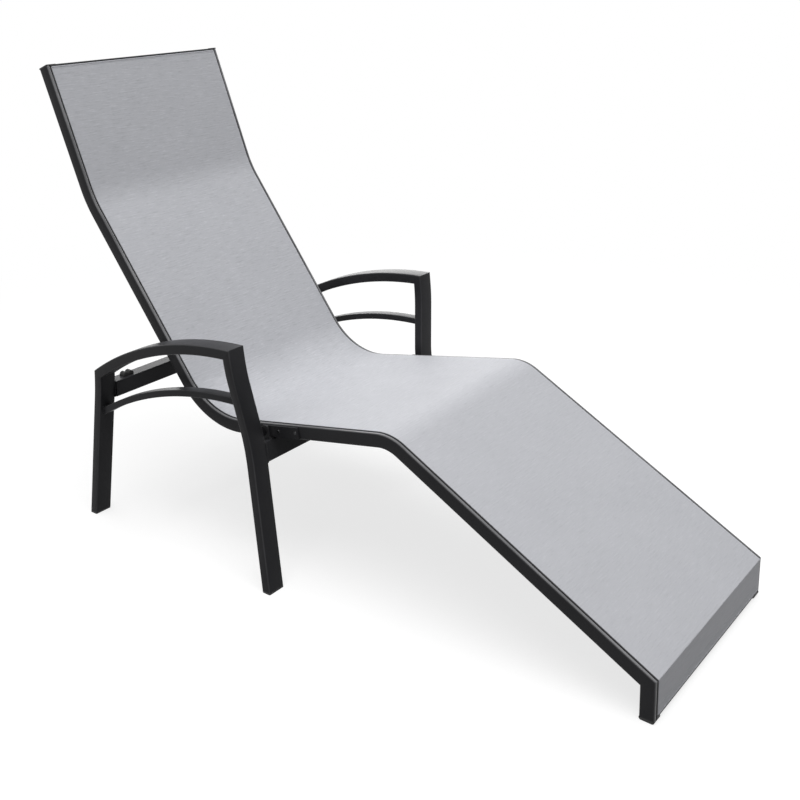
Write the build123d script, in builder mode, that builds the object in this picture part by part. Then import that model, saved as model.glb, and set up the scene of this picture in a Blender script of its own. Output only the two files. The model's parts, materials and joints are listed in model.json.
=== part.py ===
from build123d import *
import os
from math import asin, cos, degrees, radians, sin, sqrt, tan

os.makedirs("parts", exist_ok=True)

# Tilting patio lounger: an S-shaped sling body that pivots on a four-legged base.
# Millimetres. +X points to the foot end, +Z up, +Y to the left of someone lying on it.
# The origin is on the floor, under the middle of the whole lounger.

# Side line of the body: the top face of the rails, in straight runs from head to foot
head_length = 306.0
back_length = 566.0
seat_length = 520.0
leg_rest_length = 662.0
foot_drop = 89.0
head_angle = -69.0
back_angle = -53.2
seat_angle = 11.2
leg_rest_angle = -28.0
foot_angle = -86.6
head_bend_radius = 220.0
seat_bend_radius = 160.0
knee_bend_radius = 100.0

# Rails: hollow extrusion with a groove that holds the sling's edge
rail_span = 518.0
rail_width = 25.0
rail_depth = 30.0
rail_wall = 2.0
rail_edge_radius = 3.0
channel_inset = 5.0
channel_width = 6.5
channel_depth = 6.5
slot_width = 3.6
keder_diameter = 5.0
keder_end_gap = 1.0

# Sling: one sheet between the rails' grooves, wrapped round the foot corner
sling_thickness = 1.2
sling_gap = 0.3
sling_head_margin = 3.0
sling_foot_margin = 15.5
sling_foot_radius = 2.5

# Tubes between the rails
end_bar_depth = 24.0
end_bar_length = 25.0
end_bar_set_down = 0.5
spreader_depth = 15.0
spreader_length = 30.0
spreader_set_down = 13.0
bar_wall = 1.5
bar_edge_radius = 2.5
back_spreader_station = 190.0
seat_spreader_station = 262.0
knee_spreader_set_back = 70.0
calf_spreader_station = 360.0

# Plastic ends of the rails
head_cap_thickness = 2.5
glide_height = 6.0
glide_sole_radius = 2.5
plug_length = 15.0
plug_clearance = 0.3

# Tilt pivot, measured along the seat from its corner and down from its top face
pivot_station = 173.0
pivot_depth = 18.0
hinge_plate_thickness = 4.0
hinge_plate_reach = 103.0
hinge_plate_margin = 3.0
hinge_eye_radius = 10.0
rivet_lead = 46.0
rivet_radius = 2.4
rivet_head_radius = 4.0
rivet_head_height = 1.2
rivet_head_taper = 24.0
rivet_clearance = 0.1
bolt_radius = 5.0
bush_wall = 1.5
bush_flange_radius = 9.5
bush_flange = 0.8
running_clearance = 0.05
side_clearance = 0.2
seat_clearance = 0.02
bolt_hole_clearance = 0.25
bolt_washer_radius = 10.0
bolt_washer_thickness = 1.2
bolt_head_across = 17.0
bolt_head_height = 6.4
nut_height = 8.0
bolt_end = 1.5
bracket_thickness = 4.0
bracket_eye_radius = 12.0
bracket_corner_radius = 6.0
bracket_top_depth = 2.0
inner_clearance = 0.5

# Base: legs of flat rectangular tube; the gaps are from the rails' outer faces to the legs
tube_width = 44.0
tube_depth = 22.0
tube_wall = 2.0
tube_edge_radius = 3.0
arm_gap = 47.0
waist_gap = 22.0
foot_gap = 71.5
front_lower_rake = 14.8
front_upper_lean = 6.3
rear_rake = 6.9
waist_above_bar = 20.8
waist_blend = 45.0
shoulder_blend = 30.0
leg_cap_thickness = 4.0

# Armrests and the thinner bars below them
arm_front_height = 525.0
arm_radius = 850.0
arm_crest_ahead = 30.0
arm_tube_depth = 23.0
lower_bar_drop = 114.0
lower_bar_setback = 20.0
lower_bar_width = 25.0
lower_bar_depth = 15.0
lower_bar_edge_radius = 2.0

# Crossbars and the rubber buffers that the back rails meet when tilted
front_crossbar_height = 45.0
front_bar_lead = 12.4
front_bar_clearance = 3.0
rear_crossbar_depth = 34.0
rear_crossbar_height = 38.0
crossbar_spacing = 468.0
rear_bar_rise = 38.9
buffer_length = 30.0
buffer_width = 16.0
buffer_base = 4.0
buffer_height = 10.0
buffer_overlap = 12.0
buffer_edge_radius = 1.2
buffer_notch_radius = 1.2
buffer_stem_radius = 4.0
buffer_stem_length = 9.0
cut_overrun = 5.0

sides = (("right", -1), ("left", 1))


def unit(angle):
    """Direction in the side view at an angle above the horizontal."""
    return Vector(cos(radians(angle)), sin(radians(angle)))


def below(direction):
    """Direction at a right angle to a run, towards the underside of the rails."""
    return Vector(direction.Y, -direction.X)


def at_height(point, direction, height):
    """Point reached from another along a direction, where it comes to a height."""
    return point + direction * ((height - point.Y) / direction.Y)


def side_plane(side, distance):
    """Upright plane along the lounger, at a distance out from the middle on one side."""
    return Plane.XZ.offset(-side * distance)


def export(part, label):
    """Label a finished piece and write it as its own file."""
    part.label = label
    export_step(part, f"parts/{label}.step")


# Corners of the side line, worked back from the toe, then centred over the floor
run_order = ("head", "back", "seat", "leg_rest", "foot")
angles = dict(zip(run_order, (head_angle, back_angle, seat_angle, leg_rest_angle, foot_angle)))
lengths = dict(zip(run_order, (head_length, back_length, seat_length, leg_rest_length, foot_drop)))
runs = {name: unit(angles[name]) for name in run_order}
downs = {name: below(runs[name]) for name in run_order}
sling_proud = sling_gap + sling_thickness
reach_back = sum(lengths[name] * runs[name].X for name in run_order)
reach_back += head_cap_thickness * runs["head"].X - rail_depth * downs["head"].X
sling_front = at_height(downs["foot"] * -sling_proud, runs["foot"], sling_foot_margin)
toe = Vector((reach_back - sling_front.X) / 2, 0)
corners = {}
for name in reversed(run_order):
    toe_or_corner = corners[run_order[run_order.index(name) + 1]] if corners else toe
    corners[name] = toe_or_corner - runs[name] * lengths[name]


def at_corner(upper, lower, depth):
    """Corner between two runs of the side line, moved down by a depth from both."""
    both = downs[upper] + downs[lower]
    return corners[lower] + both * (depth / (1 + downs[upper].dot(downs[lower])))


def at_run(name, station, depth):
    """Point on one run: distance along it from its upper corner, and depth below it."""
    return corners[name] + runs[name] * station + downs[name] * depth


def side_line(depth, head_trim, foot_height, foot_radius):
    """Draw the side line at one depth, head to foot, with its bends as arcs."""
    start = at_run("head", head_trim, depth)
    middle = [at_corner(upper, lower, depth) for upper, lower in zip(run_order, run_order[1:])]
    end = at_height(middle[-1], runs["foot"], foot_height)
    radii = (head_bend_radius + depth, seat_bend_radius + depth, knee_bend_radius - depth, foot_radius)
    FilletPolyline(start, *middle, end, radius=radii)
    return start, end


def side_band(top, bottom, head_trim, foot_height, foot_radius):
    """Fill the strip between two depths of the side line."""
    with BuildLine(Plane.XY) as outline:
        top_start, top_end = side_line(top, head_trim, foot_height, foot_radius)
        bottom_start, bottom_end = side_line(bottom, head_trim, foot_height, 0)
        Line(top_start, bottom_start)
        Line(top_end, bottom_end)
    make_face(outline.edges())


# Rails, their end plugs and the keder rods
rail_outer = rail_span / 2
rail_inner = rail_outer - rail_width
channel_outer = rail_outer - channel_inset
channel_middle = channel_outer - channel_width / 2
cavity_outer = rail_outer - rail_wall
cavity_inner = rail_inner + rail_wall
cavity_depth = rail_wall + channel_depth + rail_wall
cavity_bottom = rail_depth - rail_wall
chamber_outer = channel_outer - channel_width - rail_wall
keder_depth = rail_wall + channel_depth / 2
pivot = at_run("seat", pivot_station, pivot_depth)
plate_end = pivot_station + hinge_plate_reach
bush_outer_radius = bolt_radius + running_clearance + bush_wall
bush_hole = bush_outer_radius + seat_clearance
rivet_stations = (pivot_station + rivet_lead, plate_end - rivet_head_radius * 2)
rivet_depth = rail_depth / 2
rivet_points = [at_run("seat", station, rivet_depth) for station in rivet_stations]
rivet_hole = rivet_radius + rivet_clearance

for name, side in sides:
    with BuildPart() as rail:
        with BuildSketch(side_plane(side, rail_inner)):
            side_band(0, rail_depth, 0, glide_height, 0)
        extrude(amount=-side * rail_width)
        outer_face = rail.faces().sort_by(Axis.Y)[0 if side < 0 else -1]
        long_edges = outer_face.edges().filter_by(lambda edge: edge.length > rail_depth * 2)
        bend_edges = outer_face.edges().filter_by(GeomType.CIRCLE)
        fillet(ShapeList(set(long_edges + bend_edges)), radius=rail_edge_radius)
        with BuildSketch(side_plane(side, cavity_inner)):
            side_band(cavity_depth, cavity_bottom, -cut_overrun, glide_height - cut_overrun, 0)
        extrude(amount=-side * (cavity_outer - cavity_inner), mode=Mode.SUBTRACT)
        with BuildSketch(side_plane(side, cavity_inner)):
            side_band(rail_wall, cavity_depth, -cut_overrun, glide_height - cut_overrun, 0)
        extrude(amount=-side * (chamber_outer - cavity_inner), mode=Mode.SUBTRACT)
        with BuildSketch(side_plane(side, channel_outer - channel_width)):
            side_band(rail_wall, rail_wall + channel_depth, -cut_overrun, glide_height - cut_overrun, 0)
        extrude(amount=-side * channel_width, mode=Mode.SUBTRACT)
        with BuildSketch(side_plane(side, channel_middle - slot_width / 2)):
            side_band(-cut_overrun, rail_wall + channel_depth / 2, -cut_overrun,
                      glide_height - cut_overrun, 0)
        extrude(amount=-side * slot_width, mode=Mode.SUBTRACT)
        with BuildSketch(side_plane(side, rail_outer - rail_wall * 2)):
            with Locations(*rivet_points):
                Circle(rivet_hole)
        extrude(amount=-side * rail_wall * 3, mode=Mode.SUBTRACT)
        with BuildSketch(side_plane(side, rail_inner - cut_overrun)):
            with Locations(pivot):
                Circle(bush_hole)
        extrude(amount=-side * (rail_width + cut_overrun * 2), mode=Mode.SUBTRACT)
    export(rail.part, f"{name}_rail")

    with BuildPart() as keder_rod:
        with BuildLine(Plane.XY) as keder_line:
            side_line(keder_depth, 0, glide_height + keder_end_gap, keder_diameter)
        keder_path = side_plane(side, channel_middle).from_local_coords(keder_line.line)
        with BuildSketch(Plane(keder_path @ 0, z_dir=keder_path % 0)):
            Circle(keder_diameter / 2)
        sweep(path=keder_path)
    export(keder_rod.part, f"{name}_keder_rod")

    with BuildPart() as head_cap:
        with BuildSketch(side_plane(side, rail_inner)):
            Polygon(
                at_run("head", -head_cap_thickness, 0),
                at_run("head", 0, 0),
                at_run("head", 0, rail_depth),
                at_run("head", -head_cap_thickness, rail_depth),
                align=None,
            )
        extrude(amount=-side * rail_width)
        fillet(head_cap.edges().sort_by(Axis.Y)[0 if side < 0 else -1], radius=head_cap_thickness / 2)
        with BuildSketch(side_plane(side, cavity_inner + plug_clearance)):
            Polygon(
                at_run("head", 0, cavity_depth + plug_clearance),
                at_run("head", plug_length, cavity_depth + plug_clearance),
                at_run("head", plug_length, cavity_bottom - plug_clearance),
                at_run("head", 0, cavity_bottom - plug_clearance),
                align=None,
            )
        extrude(amount=-side * (cavity_outer - cavity_inner - plug_clearance * 2))
    export(head_cap.part, f"{name}_head_cap")

    sole_front = at_height(corners["foot"], runs["foot"], glide_height)
    sole_back = at_height(at_corner("leg_rest", "foot", rail_depth), runs["foot"], glide_height)
    plug_front = at_corner("leg_rest", "foot", cavity_depth + plug_clearance)
    plug_back = at_corner("leg_rest", "foot", cavity_bottom - plug_clearance)
    plug_top = glide_height + plug_length
    plug_points = (
        at_height(plug_front, runs["foot"], glide_height),
        at_height(plug_front, runs["foot"], plug_top),
        at_height(plug_back, runs["foot"], plug_top),
        at_height(plug_back, runs["foot"], glide_height),
    )
    with BuildPart() as foot_glide:
        with BuildSketch(side_plane(side, rail_inner)) as glide_side:
            Polygon(
                sole_front,
                (sole_front.X, 0),
                (sole_back.X, 0),
                sole_back,
                align=None,
            )
            fillet(glide_side.vertices().group_by(Axis.Y)[0], radius=glide_sole_radius * 2)
        extrude(amount=-side * rail_width)
        with BuildSketch(side_plane(side, cavity_inner + plug_clearance)):
            Polygon(*plug_points, align=None)
        extrude(amount=-side * (cavity_outer - cavity_inner - plug_clearance * 2))
    export(foot_glide.part, f"{name}_foot_glide")

# Tubes between the rails: one at each end and four flat spreaders under the sling
cross_bars = (
    ("head_bar", "head", -head_cap_thickness, end_bar_length, end_bar_set_down, end_bar_depth),
    ("back_spreader", "back", back_spreader_station, spreader_length, spreader_set_down,
     spreader_depth),
    ("seat_spreader", "seat", seat_spreader_station, spreader_length, spreader_set_down,
     spreader_depth),
    ("knee_spreader", "seat", seat_length - knee_spreader_set_back, spreader_length,
     spreader_set_down, spreader_depth),
    ("calf_spreader", "leg_rest", calf_spreader_station, spreader_length, spreader_set_down,
     spreader_depth),
    ("foot_bar", "foot", foot_drop - end_bar_length - glide_height, end_bar_length,
     end_bar_set_down, end_bar_depth),
)


for label, run, station, length, depth, thickness in cross_bars:
    middle = at_run(run, station + length / 2, depth + thickness / 2)
    with BuildPart() as cross_bar:
        with BuildSketch(Plane.XZ):
            with Locations(Location((middle.X, middle.Y), angles[run])):
                RectangleRounded(length, thickness, bar_edge_radius)
                RectangleRounded(length - bar_wall * 2, thickness - bar_wall * 2,
                                 bar_edge_radius - bar_wall, mode=Mode.SUBTRACT)
        extrude(amount=rail_inner, both=True)
    export(cross_bar.part, label)

# Sling: a thin sheet that lies just above the rails, from groove to groove
sling_half = channel_middle - slot_width / 2
with BuildPart() as sling:
    with BuildSketch(Plane.XZ):
        side_band(-sling_proud, -sling_gap, sling_head_margin, sling_foot_margin, sling_foot_radius)
    extrude(amount=sling_half, both=True)
export(sling.part, "sling")

# Crossbars: the front one lies square to the seat's run, just under the rails
front_bar_station = pivot_station + front_bar_lead
front_bar_depth = rail_depth + front_bar_clearance
front_bar = at_run("seat", front_bar_station, front_bar_depth + front_crossbar_height / 2)
front_bar_x = front_bar.X
front_bar_z = front_bar.Y
rear_bar_x = front_bar_x - crossbar_spacing
rear_bar_z = front_bar_z + rear_bar_rise
rear_bar_top = rear_bar_z + rear_crossbar_height / 2


def turn(height, knot, change, blend):
    """Sideways shift above a knot where a line changes slope, eased in over a parabola."""
    rise = height - knot
    if rise <= -blend:
        return 0
    if rise >= blend:
        return change * rise
    return change * (rise + blend) ** 2 / (4 * blend)


# Leg centre lines: forward place and distance out from the middle at each height
waist_height = front_bar_z + waist_above_bar
arm_half = rail_outer + arm_gap + tube_width / 2
waist_half = rail_outer + waist_gap + tube_width / 2
foot_half = rail_outer + foot_gap + tube_width / 2
shoulder_height = arm_front_height - arm_tube_depth - shoulder_blend
lower_slope = -tan(radians(front_lower_rake))
upper_slope = -tan(radians(front_upper_lean))
lower_spread = (waist_half - foot_half) / waist_height
upper_spread = (arm_half - waist_half) / (shoulder_height - waist_height)


def front_leg_line(height):
    """Place of the front leg's centre at one height: forward, and out from the middle."""
    forward = front_bar_x + lower_slope * (height - front_bar_z)
    forward += turn(height, waist_height, upper_slope - lower_slope, waist_blend)
    out = foot_half + lower_spread * height
    out += turn(height, waist_height, upper_spread - lower_spread, waist_blend)
    out += turn(height, shoulder_height, -upper_spread, shoulder_blend)
    return forward, out


arm_centre_x = front_leg_line(arm_front_height)[0] + tube_depth / 2 + arm_crest_ahead
arm_centre_z = arm_front_height - sqrt(arm_radius ** 2 - arm_crest_ahead ** 2)


def arc_height(forward, centre_x, centre_z, radius):
    """Height of a wide arc above a place along the lounger."""
    return centre_z + sqrt(radius ** 2 - (forward - centre_x) ** 2)


rear_slope = tan(radians(rear_rake))


def rear_leg_forward(height):
    """Forward place of the rear leg's centre at one height."""
    return rear_bar_x + rear_slope * (height - rear_bar_z)


def corner_on_leg(forward_at, offset, radius):
    """Point where one face of a leg meets an arc of the armrest."""
    height = arm_front_height
    for _ in range(12):
        forward = forward_at(height) + offset
        height = arc_height(forward, arm_centre_x, arm_centre_z, radius)
    return Vector(forward, height)


def front_forward(height):
    """Forward place of the front leg's centre at one height."""
    return front_leg_line(height)[0]


arm_front_outer = corner_on_leg(front_forward, tube_depth / 2, arm_radius)
arm_front_inner = corner_on_leg(front_forward, -tube_depth / 2, arm_radius - arm_tube_depth)
arm_rear_outer = corner_on_leg(rear_leg_forward, -tube_depth / 2, arm_radius)
arm_rear_inner = corner_on_leg(rear_leg_forward, tube_depth / 2, arm_radius - arm_tube_depth)
rear_shoulder = arm_rear_inner.Y - shoulder_blend
rear_spread = (arm_half - foot_half) / rear_shoulder


def rear_leg_line(height):
    """Place of the rear leg's centre at one height: forward, and out from the middle."""
    out = foot_half + rear_spread * height
    out += turn(height, rear_shoulder, -rear_spread, shoulder_blend)
    return rear_leg_forward(height), out


def leg_heights(bottom, top, knots):
    """Heights of the sections that a leg is drawn through, closer together in its bends."""
    share = (-1, -0.5, 0, 0.5, 1)
    heights = {bottom, top}
    for knot, blend in knots:
        heights.update(knot + blend * part for part in share)
    return sorted(height for height in heights if bottom <= height <= top)


def leg_sections(side, line, heights, inset, radius, spare=0):
    """Loft the leg's level sections, smaller all round by an inset, deeper by a spare depth."""
    sections = []
    for height in heights:
        forward, out = line(height)
        with BuildSketch(Plane.XY.offset(height)) as section:
            with Locations((forward, side * out)):
                RectangleRounded(tube_depth + spare - inset * 2, tube_width - inset * 2, radius)
        sections.append(section.sketch)
    loft(sections, ruled=True)


front_knots = ((waist_height, waist_blend), (shoulder_height, shoulder_blend))
rear_knots = ((rear_shoulder, shoulder_blend),)
legs = (
    ("front", front_leg_line, front_knots, arm_front_outer, arm_front_inner),
    ("rear", rear_leg_line, rear_knots, arm_rear_outer, arm_rear_inner),
)
inner_radius = tube_edge_radius - tube_wall
plug_inset = tube_wall + plug_clearance
leg_blanks = {}
leg_cutters = {}

for name, side in sides:
    for place, line, knots, outer, inner in legs:
        mitre = Plane(
            origin=(outer.X, 0, outer.Y),
            x_dir=(0, 1, 0),
            z_dir=((outer.Y - inner.Y), 0, -(outer.X - inner.X)),
        )
        keep_side = Keep.BOTTOM if mitre.z_dir.Z > 0 else Keep.TOP
        leg_top = outer.Y + cut_overrun
        heights = leg_heights(leg_cap_thickness, leg_top, knots)
        with BuildPart() as blank:
            leg_sections(side, line, heights, 0, tube_edge_radius)
            split(bisect_by=mitre, keep=keep_side)
        leg_blanks[name, place] = blank.part
        with BuildPart() as cutter:
            leg_sections(side, line, heights, 0, tube_edge_radius, tube_width)
        leg_cutters[name, place] = cutter.part
        with BuildPart() as bore:
            leg_sections(side, line, heights, tube_wall, inner_radius)
        with BuildPart() as leg:
            add(blank.part)
            add(bore.part, mode=Mode.SUBTRACT)
        export(leg.part, f"{name}_{place}_leg")

        with BuildPart() as foot_cap:
            leg_sections(side, line, (0, leg_cap_thickness), 0, tube_edge_radius)
            leg_sections(side, line, (leg_cap_thickness, leg_cap_thickness + plug_length),
                         plug_inset, inner_radius)
        export(foot_cap.part, f"{name}_{place}_foot_cap")


def arc_through(start, end, centre_x, centre_z, radius):
    """Draw the stretch of a wide arc between two points on it."""
    middle_x = (start.X + end.X) / 2
    middle = (middle_x, arc_height(middle_x, centre_x, centre_z, radius))
    ThreePointArc(start, middle, end)


def arm_outline(inset):
    """Side view of the armrest between its two mitres, thinner all round by an inset."""
    share = inset / arm_tube_depth
    upper = arm_radius - inset
    lower = arm_radius - arm_tube_depth + inset
    front_upper = arm_front_outer + (arm_front_inner - arm_front_outer) * share
    front_lower = arm_front_inner + (arm_front_outer - arm_front_inner) * share
    rear_upper = arm_rear_outer + (arm_rear_inner - arm_rear_outer) * share
    rear_lower = arm_rear_inner + (arm_rear_outer - arm_rear_inner) * share
    with BuildLine(Plane.XY) as outline:
        arc_through(rear_upper, front_upper, arm_centre_x, arm_centre_z, upper)
        Line(front_upper, front_lower)
        arc_through(front_lower, rear_lower, arm_centre_x, arm_centre_z, lower)
        Line(rear_lower, rear_upper)
    make_face(outline.edges())


for name, side in sides:
    with BuildPart() as armrest:
        with BuildSketch(side_plane(side, arm_half - tube_width / 2)):
            arm_outline(0)
        extrude(amount=-side * tube_width)
        fillet(armrest.edges().filter_by(GeomType.CIRCLE), radius=tube_edge_radius)
        with BuildSketch(side_plane(side, arm_half - tube_width / 2 + tube_wall)):
            arm_outline(tube_wall)
        extrude(amount=-side * (tube_width - tube_wall * 2), mode=Mode.SUBTRACT)
    export(armrest.part, f"{name}_armrest")

# Lower arm bars: an arc in the upright plane through the two legs' centres
bar_centre_x = arm_centre_x - lower_bar_setback
bar_centre_z = arm_centre_z - lower_bar_drop
bar_front_x = front_forward(arm_front_height - lower_bar_drop)
bar_front_z = arc_height(bar_front_x, bar_centre_x, bar_centre_z, arm_radius)
bar_rear_x = rear_leg_forward(rear_bar_z)
bar_rear_z = arc_height(bar_rear_x, bar_centre_x, bar_centre_z, arm_radius)
bar_front_out = front_leg_line(bar_front_z)[1]
bar_rear_out = rear_leg_line(bar_rear_z)[1]


def lower_bar_outline(inset):
    """Side view of the lower arm bar, thinner by an inset, along its own plane."""
    upper = arm_radius - inset
    lower = arm_radius - lower_bar_depth + inset
    front_top = Vector(bar_front_x, arc_height(bar_front_x, bar_centre_x, bar_centre_z, upper))
    front_low = Vector(bar_front_x, arc_height(bar_front_x, bar_centre_x, bar_centre_z, lower))
    rear_top = Vector(bar_rear_x, arc_height(bar_rear_x, bar_centre_x, bar_centre_z, upper))
    rear_low = Vector(bar_rear_x, arc_height(bar_rear_x, bar_centre_x, bar_centre_z, lower))
    with BuildLine(Plane.XY) as outline:
        arc_through(rear_top, front_top, bar_centre_x, bar_centre_z, upper)
        Line(front_top, front_low)
        arc_through(front_low, rear_low, bar_centre_x, bar_centre_z, lower)
        Line(rear_low, rear_top)
    make_face(outline.edges())


bar_toe_in = degrees(asin((bar_rear_out - bar_front_out) / (bar_front_x - bar_rear_x)))

for name, side in sides:
    hinge_line = Axis((bar_front_x, side * bar_front_out, 0), (0, 0, 1))
    with BuildPart() as flat_bar:
        with BuildSketch(side_plane(side, bar_front_out - lower_bar_width / 2)):
            lower_bar_outline(0)
        extrude(amount=-side * lower_bar_width)
        fillet(flat_bar.edges().filter_by(GeomType.CIRCLE), radius=lower_bar_edge_radius)
        with BuildSketch(side_plane(side, bar_front_out - lower_bar_width / 2 + bar_wall)):
            lower_bar_outline(bar_wall)
        extrude(amount=-side * (lower_bar_width - bar_wall * 2), mode=Mode.SUBTRACT)
    with BuildPart() as lower_bar:
        add(flat_bar.part.rotate(hinge_line, -side * bar_toe_in))
        add(leg_blanks[name, "front"], mode=Mode.SUBTRACT)
        add(leg_blanks[name, "rear"], mode=Mode.SUBTRACT)
    export(lower_bar.part, f"{name}_lower_arm_bar")

# Crossbars between the legs, their ends cut to the legs' inner faces
crossbars = (
    ("front_crossbar", "front", front_bar_x, front_bar_z, tube_depth, front_crossbar_height,
     seat_angle, front_leg_line),
    ("rear_crossbar", "rear", rear_bar_x, rear_bar_z, rear_crossbar_depth, rear_crossbar_height,
     0, rear_leg_line),
)
buffer_out = rail_outer - buffer_overlap + buffer_length / 2

for label, place, forward, height, deep, tall, lean, leg_line in crossbars:
    with BuildPart() as crossbar:
        with BuildSketch(Plane.XZ):
            with Locations(Location((forward, height), lean)):
                RectangleRounded(deep, tall, tube_edge_radius)
                RectangleRounded(deep - tube_wall * 2, tall - tube_wall * 2, inner_radius,
                                 mode=Mode.SUBTRACT)
        extrude(amount=leg_line(height)[1], both=True)
        for name, side in sides:
            add(leg_cutters[name, place], mode=Mode.SUBTRACT)
        if place == "rear":
            with BuildSketch(Plane.XY.offset(rear_bar_top - tube_wall * 2)):
                with Locations((forward, buffer_out), (forward, -buffer_out)):
                    Circle(buffer_stem_radius + seat_clearance)
            extrude(amount=tube_wall * 3, mode=Mode.SUBTRACT)
    export(crossbar.part, label)

# Rubber buffers with two humps, pushed into the rear crossbar
hump_radius = buffer_length / 4
hump_rise = buffer_height - buffer_base

for name, side in sides:
    with BuildPart() as buffer:
        with BuildSketch(Plane.YZ.offset(rear_bar_x - buffer_width / 2)) as buffer_front:
            with Locations((side * buffer_out, rear_bar_top)):
                Rectangle(buffer_length, buffer_base, align=(Align.CENTER, Align.MIN))
            for place in (-hump_radius, hump_radius):
                start = side * buffer_out + place - hump_radius
                end = start + hump_radius * 2
                base = rear_bar_top + buffer_base
                with BuildLine():
                    ThreePointArc((start, base), (start + hump_radius, base + hump_rise), (end, base))
                    Line((end, base), (start, base))
                make_face()
            notch_and_shoulders = buffer_front.vertices().group_by(Axis.Y)[-1]
            fillet(notch_and_shoulders, radius=buffer_notch_radius)
        extrude(amount=buffer_width)
        rims = buffer.faces().filter_by(Axis.X).edges()
        fillet(rims - rims.group_by(Axis.Z)[0], radius=buffer_edge_radius)
        with BuildSketch(Plane.XY.offset(rear_bar_top - buffer_stem_length)):
            with Locations((rear_bar_x, side * buffer_out)):
                Circle(buffer_stem_radius)
        extrude(amount=buffer_stem_length)
    export(buffer.part, f"{name}_back_buffer")

# Pivots: plate and bush on the rail, between two bracket plates on the front crossbar
plate_inner = rail_outer
plate_outer = plate_inner + hinge_plate_thickness
bracket_inner = plate_outer + bush_flange + side_clearance
bracket_outer = bracket_inner + bracket_thickness
inner_plate_start = rail_inner - inner_clearance - bracket_thickness
head_inner = bracket_outer + bolt_washer_thickness
nut_start = inner_plate_start - nut_height
bolt_tip = nut_start - bolt_end
plate_low = rail_depth - hinge_plate_margin / 2
plate_corners = (
    at_run("seat", pivot_station, hinge_plate_margin),
    at_run("seat", plate_end, hinge_plate_margin),
    at_run("seat", plate_end, plate_low),
    at_run("seat", pivot_station, plate_low),
)
foot_start = front_bar_station - tube_depth / 2 + tube_edge_radius
foot_end = front_bar_station + tube_depth / 2 - tube_edge_radius
foot_corners = (
    at_run("seat", foot_start, pivot_depth),
    at_run("seat", foot_end, pivot_depth),
    at_run("seat", foot_end, front_bar_depth),
    at_run("seat", foot_start, front_bar_depth),
)
bracket_corner = at_run("seat", foot_end - bracket_corner_radius,
                        bracket_top_depth + bracket_corner_radius)
bracket_plates = ((bracket_inner, (bracket_corner,)), (inner_plate_start, ()))

for name, side in sides:
    with BuildPart() as hinge_plate:
        with BuildSketch(side_plane(side, plate_inner)):
            Polygon(*plate_corners, align=None)
            with Locations(pivot):
                Circle(hinge_eye_radius)
            make_hull()
            with Locations(pivot):
                Circle(bush_hole, mode=Mode.SUBTRACT)
            with Locations(*rivet_points):
                Circle(rivet_hole, mode=Mode.SUBTRACT)
        extrude(amount=-side * hinge_plate_thickness)
    export(hinge_plate.part, f"{name}_hinge_plate")

    with BuildPart() as bush:
        with BuildSketch(side_plane(side, rail_inner)):
            with Locations(pivot):
                Circle(bush_outer_radius)
        extrude(amount=-side * (plate_outer - rail_inner))
        with BuildSketch(side_plane(side, plate_outer)):
            with Locations(pivot):
                Circle(bush_flange_radius)
        extrude(amount=-side * bush_flange)
        with BuildSketch(side_plane(side, rail_inner)):
            with Locations(pivot):
                Circle(bolt_radius + running_clearance)
        extrude(amount=-side * (plate_outer + bush_flange - rail_inner), mode=Mode.SUBTRACT)
    export(bush.part, f"{name}_pivot_bush")

    with BuildPart() as bracket:
        for start, guard in bracket_plates:
            with BuildSketch(side_plane(side, start)):
                Polygon(*foot_corners, align=None)
                with Locations(pivot):
                    Circle(bracket_eye_radius)
                for corner in guard:
                    with Locations(corner):
                        Circle(bracket_corner_radius)
                make_hull()
                with Locations(pivot):
                    Circle(bolt_radius + bolt_hole_clearance, mode=Mode.SUBTRACT)
            extrude(amount=-side * bracket_thickness)
    export(bracket.part, f"{name}_pivot_bracket")

    with BuildPart() as bolt:
        with BuildSketch(side_plane(side, bolt_tip)):
            with Locations(pivot):
                Circle(bolt_radius)
        extrude(amount=-side * (head_inner - bolt_tip))
        chamfer(bolt.edges().sort_by(Axis.Y)[-1 if side < 0 else 0], length=bolt_end / 2)
        with BuildSketch(side_plane(side, head_inner)):
            with Locations(pivot):
                RegularPolygon(bolt_head_across / 2, 6, major_radius=False)
        extrude(amount=-side * bolt_head_height)
    export(bolt.part, f"{name}_pivot_bolt")

    with BuildPart() as nut:
        with BuildSketch(side_plane(side, nut_start)):
            with Locations(pivot):
                RegularPolygon(bolt_head_across / 2, 6, major_radius=False)
                Circle(bolt_radius + seat_clearance, mode=Mode.SUBTRACT)
        extrude(amount=-side * nut_height)
    export(nut.part, f"{name}_pivot_nut")

with BuildPart() as pivot_washers:
    for name, side in sides:
        with BuildSketch(side_plane(side, bracket_outer)):
            with Locations(pivot):
                Circle(bolt_washer_radius)
                Circle(bolt_radius + seat_clearance, mode=Mode.SUBTRACT)
        extrude(amount=-side * bolt_washer_thickness)
export(pivot_washers.part, "pivot_washers")

with BuildPart() as hinge_plate_rivets:
    for name, side in sides:
        with BuildSketch(side_plane(side, rail_outer - rail_wall)):
            with Locations(*rivet_points):
                Circle(rivet_radius)
        extrude(amount=-side * (rail_wall + hinge_plate_thickness))
        with BuildSketch(side_plane(side, plate_outer)):
            with Locations(*rivet_points):
                Circle(rivet_head_radius)
        extrude(amount=-side * rivet_head_height, taper=rivet_head_taper)
export(hinge_plate_rivets.part, "hinge_plate_rivets")
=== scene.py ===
import json
from functools import partial
from math import cos, pi, radians, sin, sqrt, tan

import bpy
import numpy as np
from mathutils import Matrix, Vector


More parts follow.
